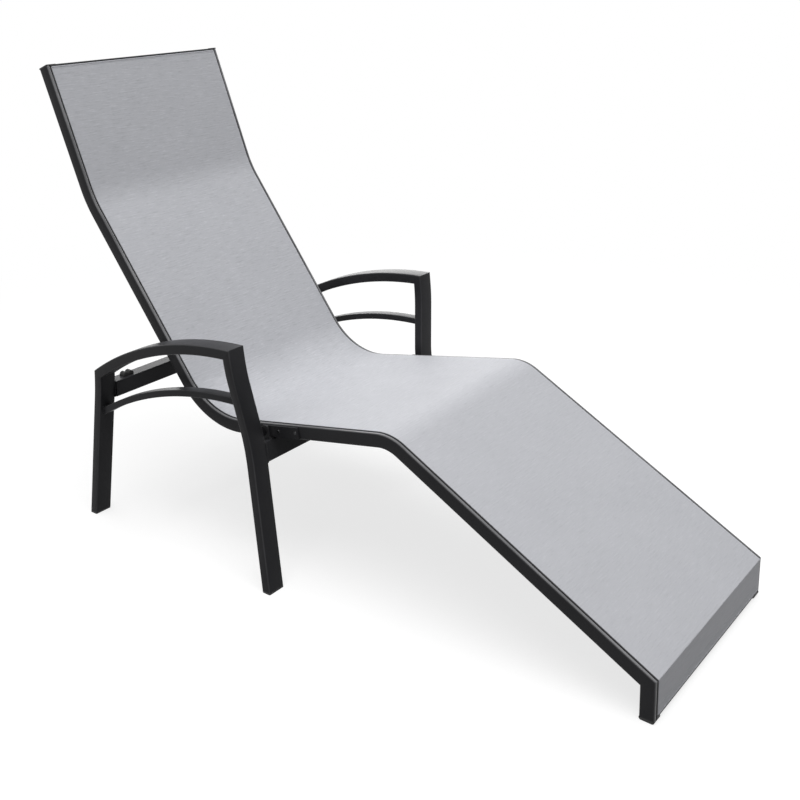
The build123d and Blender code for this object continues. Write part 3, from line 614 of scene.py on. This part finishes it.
def finish(name):
    """The material of one finish, made the first time that it is asked for."""
    found = bpy.data.materials.get(name)
    if found:
        return found
    recipe = FINISHES[name]
    look = bpy.context.scene.lounger_finishes
    colours = {label: rgba(getattr(look, colour) if isinstance(colour, str) else colour)
               for label, colour in recipe["colours"].items()}
    material = bpy.data.materials.new(name)
    material.use_nodes = True
    material.diffuse_color = rgba((recipe["view"],) * 3) if "view" in recipe else colours["Light"]
    tree = material.node_tree
    shader = tree.nodes["Principled BSDF"]
    placed = tree.nodes.new("ShaderNodeGroup")
    if "uv" in recipe:
        placed.node_tree = bpy.data.node_groups.get("slub_weave") or make_weave_group()
        layout = tree.nodes.new("ShaderNodeUVMap")
        layout.uv_map = recipe["uv"]
        tree.links.new(layout.outputs[0], placed.inputs["Vector"])
    else:
        placed.node_tree = bpy.data.node_groups.get("fine_grain") or make_grain_group()
    for label, value in {**recipe["inputs"], **colours}.items():
        placed.inputs[label].default_value = value
    relief = tree.nodes.new("ShaderNodeBump")
    relief.inputs["Strength"].default_value = recipe["bump"]
    relief.inputs["Distance"].default_value = recipe["reach"] * MM
    tree.links.new(placed.outputs["Height"], relief.inputs["Height"])
    tree.links.new(relief.outputs[0], shader.inputs["Normal"])
    tree.links.new(placed.outputs["Colour"], shader.inputs["Base Color"])
    tree.links.new(placed.outputs["Roughness"], shader.inputs["Roughness"])
    shader.inputs["Metallic"].default_value = recipe.get("metallic", 0.0)
    shader.inputs["Specular IOR Level"].default_value = recipe["specular"]
    shader.inputs["Sheen Weight"].default_value = recipe.get("sheen", 0.0)
    return material


# Settings

class LoungerFinishes(bpy.types.PropertyGroup):
    paint_dark: bpy.props.FloatVectorProperty(
        name="Paint", description="Base colour of the powder coat", subtype="COLOR", size=3,
        min=0, max=1, default=(0.026, 0.026, 0.0285))
    paint_light: bpy.props.FloatVectorProperty(
        name="Paint highlights", description="Colour of the coat's lighter specks and patches",
        subtype="COLOR", size=3, min=0, max=1, default=(0.058, 0.058, 0.062))
    # Light colour for worn tube corners, and for the painted highlight on the rails' lips, which are not worn
    paint_worn: bpy.props.FloatVectorProperty(
        name="Worn paint", description="Colour of the coat where the rails' lips are rubbed by the cloth",
        subtype="COLOR", size=3, min=0, max=1, default=(0.26, 0.26, 0.268))
    cloth_dark: bpy.props.FloatVectorProperty(
        name="Cloth shade", description="Colour between the yarns", subtype="COLOR", size=3,
        min=0, max=1, default=(0.403, 0.412, 0.438))
    cloth_light: bpy.props.FloatVectorProperty(
        name="Cloth", description="Colour of the yarns and slubs", subtype="COLOR", size=3,
        min=0, max=1, default=(0.615, 0.620, 0.655))


class LoungerSizes(bpy.types.PropertyGroup):
    cloth_thickness: bpy.props.FloatProperty(
        name="Cloth thickness", description="Thickness of the woven sling", subtype="DISTANCE",
        unit="LENGTH", min=0.0005, max=0.002, default=0.001)
    cloth_ripple: bpy.props.FloatProperty(
        name="Cloth ripple", description="Height of the sling's slight unevenness",
        subtype="DISTANCE", unit="LENGTH", min=0, max=0.003, default=0.0005)
    hem_width: bpy.props.FloatProperty(
        name="Hem width", description="Width of the sewn hems at head and foot",
        subtype="DISTANCE", unit="LENGTH", min=0.01, max=0.04, default=0.022)
    stitch_length: bpy.props.FloatProperty(
        name="Stitch pitch", description="Distance from one stitch of a hem to the next",
        subtype="DISTANCE", unit="LENGTH", min=0.002, max=0.01, default=0.004)
    weld_radius: bpy.props.FloatProperty(
        name="Weld bead", description="Radius of the weld beads at the tubes' ends",
        subtype="DISTANCE", unit="LENGTH", min=0.001, max=0.004, default=0.0022)


class LoungerStage(bpy.types.PropertyGroup):
    lens: bpy.props.FloatProperty(
        name="Lens", description="Focal length on a 36 mm sensor", min=20, max=120, default=47.72)
    softbox_power: bpy.props.FloatProperty(
        name="Softbox power", description="Power of the large lamp overhead", unit="POWER",
        min=0, max=2000, default=480)
    far_power: bpy.props.FloatProperty(
        name="Far softbox power", description="Power of the lamp behind that lights the upper faces",
        unit="POWER", min=0, max=1000, default=90)
    fill: bpy.props.FloatProperty(
        name="Fill", description="Strength of the even light from all round", min=0, max=2, default=0.12)
    bounce: bpy.props.FloatProperty(
        name="Floor bounce", description="Share of the light that the floor throws back at the object",
        subtype="FACTOR", min=0, max=1, default=0.3)


# Pieces

# The rail's section as (inset from the outer face, depth): outer box, then the groove that opens upwards
RAIL_POINTS = np.array((
    (0.0, 0.0), (0.0, 30.0), (25.0, 30.0), (25.0, 0.0), (10.05, 0.0), (10.05, 2.0),
    (11.5, 2.0), (11.5, 8.5), (5.0, 8.5), (5.0, 2.0), (6.45, 2.0), (6.45, 0.0))) * MM
RAIL_ROUNDS = np.array((3.0, 3.0, 0.8, 0.8, 0.4, 0.2, 0.3, 0.3, 0.3, 0.3, 0.2, 0.4)) * MM
# Shares of the painted highlight on the rails' lips and of wear on the tube corners, and the depth over which
# the highlight fades
LIP_HIGHLIGHT, EDGE_WEAR, LIP_FADE = 0.95, 0.2, 1.5 * MM


class LOUNGER_OT_camera(bpy.types.Operator):
    """Place the camera at the photograph's viewpoint"""

    bl_idname = "lounger.camera"
    bl_label = "Camera"

    def execute(self, context):
        a, e, r = CAMERA_AZIMUTH, CAMERA_ELEVATION, CAMERA_ROLL
        back = Vector((sin(a) * cos(e), -cos(a) * cos(e), sin(e)))
        right = Vector((0, 0, 1)).cross(back).normalized()
        up = back.cross(right)
        side = right * cos(r) + up * sin(r)
        top = up * cos(r) - right * sin(r)
        data = bpy.data.cameras.new("photo_camera")
        data.lens = context.scene.lounger_stage.lens
        data.sensor_width = 36
        data.shift_x, data.shift_y = CAMERA_SHIFT
        data.clip_start, data.clip_end = CAMERA_CLIP
        camera = bpy.data.objects.new("photo_camera", data)
        turned = Matrix((side, top, back)).transposed().to_4x4()
        camera.matrix_world = Matrix.Translation(CAMERA_PLACE) @ turned
        context.scene.collection.objects.link(camera)
        context.scene.camera = camera
        return {"FINISHED"}


class LOUNGER_OT_rails(bpy.types.Operator):
    """Sweep the rails' grooved section along the side line"""

    bl_idname = "lounger.rails"
    bl_label = "Rails"

    def execute(self, context):
        profile, marks = rounded(RAIL_POINTS, RAIL_ROUNDS, 4)
        # The lips' top faces are painted light as a highlight; the tube corners carry wear
        lip_highlight = LIP_HIGHLIGHT * np.clip(1 - profile[:, 1] / LIP_FADE, 0, 1)
        marks = np.maximum(marks * EDGE_WEAR, np.where(profile[:, 0] < SLOT_MIDDLE, lip_highlight, 0))
        rod = box_section(2 * KEDER_RADIUS, 2 * KEDER_RADIUS, KEDER_EDGE)[0]
        rod = rod + np.array((SLOT_MIDDLE, KEDER_DEPTH))
        for name, side in SIDES:
            grid = swept_side(profile, side, 0, GLIDE_HEIGHT)
            rail = skin(f"{name}_rail_extrusion", grid, finish("powder_coat"), "lounger",
                        around=True, corner=marks)
            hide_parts(f"{name}_rail")
            grid = swept_side(rod, side, KEDER_SHORT, GLIDE_HEIGHT + KEDER_SHORT)
            keder = skin(f"{name}_keder", grid, finish("keder_plastic"), "lounger",
                         around=True)
            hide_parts(f"{name}_keder_rod")
        return {"FINISHED"}


def cloth_profile():
    """Places and depths across the sling: flat, then a quarter circle down along the groove's inner edge."""
    t = np.linspace(0, pi / 2, CURL_PLACES)
    curl_y = CURL_START + CURL_BEND * np.sin(t)
    curl_d = -CLOTH_MIDDLE + CURL_BEND * (1 - np.cos(t))
    flat = np.linspace(0, curl_y[0], FLAT_PLACES)[:-1]
    y = np.concatenate((flat, curl_y, [CURL_EDGE, CURL_EDGE]))
    d = np.concatenate((np.full(len(flat), -CLOTH_MIDDLE), curl_d, DIVE_DEPTHS))
    return np.concatenate((-y[:0:-1], y)), np.concatenate((d[:0:-1], d))


def cloth_ripple(s, y):
    """Unevenness at a length s and a place y: two products of sines, from about -1.6 to 1.6."""
    wide = np.sin(s * 11 + 3 * y) * np.sin(y * 17 + 1)
    return wide + 0.6 * np.sin(s * 29 - 7 * y) * np.cos(y * 9 - s * 2)


def cloth_grid(ripple):
    """The sling's middle surface as (rows, places across, 3), with its own lengths both ways.

    The side line at each place's depth, moved outwards by the ripple, which fades to nothing at
    the rails and at head and foot. A row close to each end keeps the shading there even.
    """
    across, depth = cloth_profile()
    path = side_line(depth, HEAD_MARGIN + CLOTH_SHORT, FOOT_MARGIN + CLOTH_SHORT,
                     foot_radius=TOE_RADIUS, spacing=ROW_SPACING, arc_step=2.0)
    head = path[0] + (path[1] - path[0]) * END_ROW_SHARE
    foot = path[-1] + (path[-2] - path[-1]) * END_ROW_SHARE
    path = np.concatenate((path[:1], [head], path[1:-1], [foot], path[-1:]))
    middle = path[:, len(across) // 2]
    station = np.concatenate(([0], np.cumsum(np.linalg.norm(np.diff(middle, axis=0), axis=1))))
    s, y = station[:, None], across[None]
    inside = np.clip(1 - (np.abs(y) / (RAIL_SPAN / 2 - RAIL_WIDTH)) ** 4, 0, 1)
    ends = np.clip(np.minimum(s, station[-1] - s) / RIPPLE_FADE, 0, 1)
    lift = ripple * cloth_ripple(s, y) * inside * ends
    normal = np.gradient(middle, axis=0)
    normal /= np.linalg.norm(normal, axis=1)[:, None]
    normal = np.stack((-normal[:, 1], normal[:, 0]), -1)
    path = path + normal[:, None] * lift[..., None]
    girth = np.concatenate(([0], np.cumsum(np.hypot(np.diff(across), np.diff(depth)))))
    grid = np.stack((path[..., 0], np.broadcast_to(across, path.shape[:2]), path[..., 1]), -1)
    return grid, girth, station


def hem_grid(index, start, sign, width):
    """A hem folded under at one end of the sling: its section carried across, raised by a sine."""
    half = RAIL_SPAN / 2 - SLOT_EDGE - HEM_SIDE
    band, _ = rounded(((0, HEM_UNDER), (0, -FOLD_HEIGHT), (FOLD_WIDTH, -FOLD_HEIGHT),
                       (FOLD_END, -HEM_TOP), (width, -HEM_TOP), (width, HEM_UNDER)), HEM_ROUNDS)
    rows = on_run(index, 0, 0) + ALONG[index] * (start + sign * band[:, :1]) + DOWN[index] * band[:, 1:]
    places = np.linspace(-half, half, HEM_PLACES)[:, None]
    pucker = HEM_PUCKER * np.sin(places * PUCKER_RADIANS_TO_METRE)
    grid = np.stack((rows[:, 0] - DOWN[index][0] * pucker, np.broadcast_to(places, (len(places), len(rows))),
                     rows[:, 1] - DOWN[index][1] * pucker), -1)
    return grid, places, sign * band[:, 0]


def make_stitches(name, index, station, pitch, material):
    """A row of stitches across the sling: each a round thread on a low arch, sunk at both ends.

    With t from -1 to 1 along a stitch, its rise goes with 1 - t^2 and its radius with the root of
    1.05 - t^2, which leaves its two ends a little width.
    """
    half = RAIL_SPAN / 2 - SLOT_EDGE - STITCH_SIDE
    centres = np.arange(-half, half, pitch)
    t = np.linspace(-1, 1, STITCH_ROWS)[:, None]
    around = np.linspace(0, 2 * pi, STITCH_SIDES, endpoint=False)[None]
    radius = STITCH_RADIUS * np.sqrt(1.05 - t ** 2)
    across = t * pitch * STITCH_HALF_SHARE + 0 * around
    rise = STITCH_RISE * (1 - t ** 2) - STITCH_SINK + radius * np.sin(around)
    along = radius * np.cos(around)
    origin = on_run(index, station, -STITCH_HEIGHT)
    u, n = ALONG[index], DOWN[index]
    one = np.stack((origin[0] + along * u[0] - rise * n[0], across,
                    origin[1] + along * u[1] - rise * n[1]), -1).reshape(1, -1, 3)
    points = one + np.stack((0 * centres, centres, 0 * centres), -1)[:, None]
    ids = np.arange(one.shape[1]).reshape(len(t), -1)
    wide = np.concatenate((ids, ids[:, :1]), 1)
    quads = np.stack((wide[:-1, :-1], wide[:-1, 1:], wide[1:, 1:], wide[1:, :-1]), -1).reshape(-1, 4)
    ends = np.stack((ids[0, ::-1], ids[-1]))
    if point_inward(one[0], quads):
        quads, ends = quads[:, ::-1], ends[:, ::-1]
    shift = (np.arange(len(centres)) * ids.size)[:, None, None]
    faces = (quads + shift).reshape(-1, 4).tolist() + (ends + shift).reshape(-1, ids.shape[1]).tolist()
    mesh = bpy.data.meshes.new(name)
    mesh.from_pydata(points.reshape(-1, 3).tolist(), [], faces)
    return finish_mesh(name, mesh, material, "lounger", 60)


class LOUNGER_OT_sling(bpy.types.Operator):
    """Stretch the woven sling between the rails, with its hems and stitches"""

    bl_idname = "lounger.sling"
    bl_label = "Sling"

    def execute(self, context):
        sizes = context.scene.lounger_sizes
        grid, girth, station = cloth_grid(sizes.cloth_ripple)
        uv = np.stack(np.broadcast_arrays(girth[None] - girth.mean(), station[:, None]), -1)
        cloth, thread = finish("sling_cloth"), finish("sewing_thread")
        sling = skin("sling_cloth", grid[:, ::-1], cloth, "lounger", uv=uv[:, ::-1], sharp=60)
        wall = sling.modifiers.new("thickness", "SOLIDIFY")
        wall.thickness, wall.offset = sizes.cloth_thickness, 0
        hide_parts("sling")

        foot = RUN_LENGTHS[4] + FOOT_MARGIN / sin(RUN_ANGLES[4])
        for name, index, start, sign in (("head", 0, HEAD_MARGIN, 1), ("foot", 4, foot, -1)):
            grid, places, inwards = hem_grid(index, start, sign, sizes.hem_width)
            along = (0 if name == "head" else station[-1]) + inwards
            uv = np.stack(np.broadcast_arrays(places, along[None]), -1)
            skin(f"{name}_hem", grid, cloth, "lounger", around=True, uv=uv,
                             sharp=50)
            for row, inset in (("outer", OUTER_ROW), ("inner", sizes.hem_width - INNER_ROW)):
                make_stitches(f"{name}_hem_{row}_stitches", index, start + sign * inset,
                                          sizes.stitch_length, thread)
        return {"FINISHED"}


class LOUNGER_OT_legs(bpy.types.Operator):
    """Carry the flat tube's section up the four legs"""

    bl_idname = "lounger.legs"
    bl_label = "Legs"

    def execute(self, context):
        for name, side in SIDES:
            for place in ("front", "rear"):
                grid, marks = leg_grid(place, side)
                leg = skin(f"{name}_{place}_leg_tube", grid, finish("powder_coat"), "base",
                           around=True, corner=marks * EDGE_WEAR)
                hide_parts(f"{name}_{place}_leg")
        return {"FINISHED"}


class LOUNGER_OT_armrests(bpy.types.Operator):
    """Bend the armrests and the thinner bars under them"""

    bl_idname = "lounger.armrests"
    bl_label = "Armrests"

    def execute(self, context):
        paint = finish("powder_coat")
        centre, front, rear, slope = lower_bar_line()
        for name, side in SIDES:
            grid, marks = arc_grid(ARM_CENTRE, ARM_RADIUS, ARM_THICK, TUBE_WIDTH, TUBE_EDGE, MITRES["rear"],
                                   MITRES["front"], lambda x: side * ARM_HALF + 0 * x)
            arm = skin(f"{name}_armrest_tube", grid, paint, "base", around=True,
                       corner=marks * EDGE_WEAR)
            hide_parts(f"{name}_armrest")
            ends = []
            for x in (rear[0] + TUBE_DEPTH / 2 - LOWER_OVERLAP, front[0] - TUBE_DEPTH / 2 + LOWER_OVERLAP):
                ends.append([np.array((x, circle_height(centre, radius, x)))
                             for radius in (ARM_RADIUS, ARM_RADIUS - LOWER_THICK)])
            grid, marks = arc_grid(centre, ARM_RADIUS, LOWER_THICK, LOWER_WIDTH, LOWER_EDGE, ends[0], ends[1],
                                   lambda x: side * (front[1] + slope * (x - front[0])))
            bar = skin(f"{name}_lower_arm_tube", grid, paint, "base", around=True,
                       corner=marks * EDGE_WEAR)
            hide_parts(f"{name}_lower_arm_bar")
        return {"FINISHED"}


def make_bead(outline, radius):
    """A weld bead on a closed outline: a round tube whose radius ripples once in each bead pitch."""
    gaps = np.linalg.norm(np.roll(outline, -1, 0) - outline, axis=1)
    along = np.concatenate(([0], np.cumsum(gaps)))
    places = np.linspace(0, along[-1], int(along[-1] / BEAD_STEP), endpoint=False)
    closed = np.concatenate((outline, outline[:1]))
    path = np.stack([np.interp(places, along, closed[:, k]) for k in range(3)], -1)
    grid = tube(path, radius * (1 + BEAD_RIPPLE * np.sin(places / BEAD_PITCH * 2 * pi)))
    return np.concatenate((grid, grid[:1]))


class LOUNGER_OT_welds(bpy.types.Operator):
    """Lay weld beads where crossbars, lower arm bars and pivot brackets are joined on"""

    bl_idname = "lounger.welds"
    bl_label = "Weld beads"

    def execute(self, context):
        radius = context.scene.lounger_sizes.weld_radius
        centre, front, rear, slope = lower_bar_line()
        bars = (("front_crossbar", FRONT_BAR, FRONT_BAR_SIZE, (ALONG[2], DOWN[2]), front_leg_line),
                ("rear_crossbar", REAR_BAR, (TUBE_DEPTH, REAR_BAR_SIZE[1]), np.eye(2), rear_leg_line))
        box = box_section(LOWER_WIDTH, LOWER_THICK, LOWER_EDGE)[0]
        foot = box_section(FRONT_BAR_SIZE[0] - BRACKET_SHORT, BRACKET_THICK, BRACKET_EDGE)[0]
        for name, side in SIDES:
            beads = {}
            for label, middle, (wide, tall), axes, line in bars:
                forward, height = (middle + box_section(wide, tall, TUBE_EDGE)[0] @ np.array(axes)).T
                out = side * (line(height)[1] - TUBE_WIDTH / 2)
                beads[label] = make_bead(np.stack((forward, out, height), -1), radius)
            for label, end, line, face in (("lower_bar_front", front, front_forward, -1),
                                           ("lower_bar_rear", rear, rear_forward, 1)):
                forward = end[0] + face * TUBE_DEPTH / 2
                height = circle_height(centre, ARM_RADIUS, forward) - LOWER_THICK / 2 + box[:, 1]
                out = side * (front[1] + slope * (forward - front[0])) + box[:, 0]
                outline = np.stack((line(height) + face * TUBE_DEPTH / 2, out, height), -1)
                beads[label] = make_bead(outline, radius * LOWER_BEAD_SHARE)
            for label, out in BRACKETS.items():
                forward, height = on_run(2, FRONT_BAR_STATION + foot[:, :1], BAR_TOP_DEPTH).T
                outline = np.stack((forward, side * out + foot[:, 1], height), -1)
                beads[f"{label}_bracket"] = make_bead(outline, radius * BRACKET_BEAD_SHARE)
            for label, grid in beads.items():
                skin(f"{name}_{label}_weld", grid, finish("weld_paint"), "base", around=True,
                     sharp=80)
        return {"FINISHED"}


FINISH_OF = {
    "frame_paint": "powder_coat", "sling_fabric": "sling_cloth", "keder_plastic": "keder_plastic",
    "black_plastic": "moulded_plastic", "buffer_rubber": "buffer_rubber",
    "fastener_steel": "blackened_steel",
}


class LOUNGER_OT_finishes(bpy.types.Operator):
    """Give each CAD piece that stays in view its finish"""

    bl_idname = "lounger.finishes"
    bl_label = "Finishes"

    def execute(self, context):
        slots = {part["node"]: part["material_slot"] for part in frame["record"]["subparts"]}
        for name, node in NODES.items():
            material = finish(FINISH_OF[slots[name]])
            node.data.materials.clear()
            node.data.materials.append(material)
        return {"FINISHED"}


class LOUNGER_OT_stage(bpy.types.Operator):
    """Set the pale floor, the white surroundings and the soft lamps"""

    bl_idname = "lounger.stage"
    bl_label = "Stage"

    def execute(self, context):
        settings = context.scene.lounger_stage
        context.scene.view_settings.view_transform = "Standard"
        mesh = bpy.data.meshes.new("studio_floor")
        corners = [(x * FLOOR_REACH, y * FLOOR_REACH, -FLOOR_DROP)
                   for x, y in ((-1, -1), (1, -1), (1, 1), (-1, 1))]
        mesh.from_pydata(corners, [], [(0, 1, 2, 3)])
        floor = bpy.data.objects.new("studio_floor", mesh)
        context.scene.collection.objects.link(floor)
        mesh.materials.append(self.floor_white(settings.bounce))

        world = bpy.data.worlds.new("studio_surroundings")
        world.use_nodes = True
        context.scene.world = world
        tree = world.node_tree
        surroundings = tree.nodes["Background"]
        surroundings.inputs["Color"].default_value = (1, 1, 1, 1)
        seen = self.seen_directly(tree)
        add, _, times = sums(tree)
        tree.links.new(add(settings.fill, times(seen, 1 - settings.fill)), surroundings.inputs["Strength"])

        powers = {"softbox": settings.softbox_power, "far_softbox": settings.far_power}
        for name, (place, aim, size) in LAMPS.items():
            lamp = bpy.data.lights.new(name, "AREA")
            lamp.shape, lamp.size, lamp.energy = "SQUARE", size, powers[name]
            holder = bpy.data.objects.new(name, lamp)
            holder.location = place
            holder.rotation_euler = (Vector(aim) - Vector(place)).to_track_quat("-Z", "Y").to_euler()
            holder.visible_diffuse = name == "softbox"
            context.scene.collection.objects.link(holder)
        return {"FINISHED"}

    def floor_white(self, bounce):
        """White with a soft shadow near the object and plain white further out.

        The light that it sends back at the object is darker, by its own share.
        """
        material = bpy.data.materials.new("studio_white")
        material.use_nodes = True
        tree = material.node_tree
        shader = tree.nodes["Principled BSDF"]
        shader.inputs["Roughness"].default_value = 1.0
        shader.inputs["Specular IOR Level"].default_value = 0.0
        shader.inputs["Emission Color"].default_value = (1, 1, 1, 1)
        distance = tree.nodes.new("ShaderNodeVectorMath")
        distance.operation = "LENGTH"
        tree.links.new(tree.nodes.new("ShaderNodeTexCoord").outputs["Object"], distance.inputs[0])
        add, subtract, times = sums(tree)
        far = map_range(tree, distance.outputs["Value"], FLOOR_NEAR, FLOOR_FAR, 0.0, 1.0)
        near = subtract(1.0, far)
        seen = self.seen_directly(tree)
        grey = add(times(times(seen, near), FLOOR_GREY - bounce), bounce)
        grey = times(grey, subtract(1.0, times(seen, far)))
        joined = tree.nodes.new("ShaderNodeCombineColor")
        for socket in joined.inputs[:3]:
            tree.links.new(grey, socket)
        tree.links.new(joined.outputs[0], shader.inputs["Base Color"])
        glow = add(times(far, 1 - FLOOR_GLOW), FLOOR_GLOW)
        tree.links.new(times(seen, glow), shader.inputs["Emission Strength"])
        return material

    def seen_directly(self, tree):
        """1 for rays from the camera, mirrors and glass; 0 for the light that falls on the object."""
        path = tree.nodes.new("ShaderNodeLightPath")
        total = math_node(tree, "ADD", path.outputs["Is Camera Ray"], path.outputs["Is Glossy Ray"])
        total = math_node(tree, "ADD", total, path.outputs["Is Transmission Ray"])
        return math_node(tree, "MINIMUM", total, 1.0)


PIECE_OPERATORS = (LOUNGER_OT_camera, LOUNGER_OT_rails, LOUNGER_OT_sling, LOUNGER_OT_legs,
                   LOUNGER_OT_armrests, LOUNGER_OT_welds, LOUNGER_OT_finishes, LOUNGER_OT_stage)


class LOUNGER_PT_pieces(bpy.types.Panel):
    """Lists the lounger's settings and pieces in the sidebar"""

    bl_idname = "LOUNGER_PT_pieces"
    bl_label = "Sling Lounger"
    bl_space_type = "VIEW_3D"
    bl_region_type = "UI"
    bl_category = "Lounger"

    def draw(self, context):
        scene = context.scene
        for settings in (scene.lounger_sizes, scene.lounger_finishes, scene.lounger_stage):
            for key in settings.bl_rna.properties.keys():
                if key not in ("rna_type", "name"):
                    self.layout.prop(settings, key)
        for operator in PIECE_OPERATORS:
            self.layout.operator(operator.bl_idname)


SETTINGS = (("lounger_finishes", LoungerFinishes), ("lounger_sizes", LoungerSizes),
            ("lounger_stage", LoungerStage))


def register():
    for name, group in SETTINGS:
        bpy.utils.register_class(group)
        setattr(bpy.types.Scene, name, bpy.props.PointerProperty(type=group))
    for operator in PIECE_OPERATORS:
        bpy.utils.register_class(operator)
    bpy.utils.register_class(LOUNGER_PT_pieces)


def unregister():
    bpy.utils.unregister_class(LOUNGER_PT_pieces)
    for operator in reversed(PIECE_OPERATORS):
        bpy.utils.unregister_class(operator)
    for name, group in reversed(SETTINGS):
        delattr(bpy.types.Scene, name)
        bpy.utils.unregister_class(group)


def main():
    register()
    bpy.ops.lounger.camera()
    bpy.ops.lounger.finishes()
    bpy.ops.lounger.rails()
    bpy.ops.lounger.sling()
    bpy.ops.lounger.legs()
    bpy.ops.lounger.armrests()
    bpy.ops.lounger.welds()
    bpy.ops.lounger.stage()


if __name__ == "__main__":
    main()
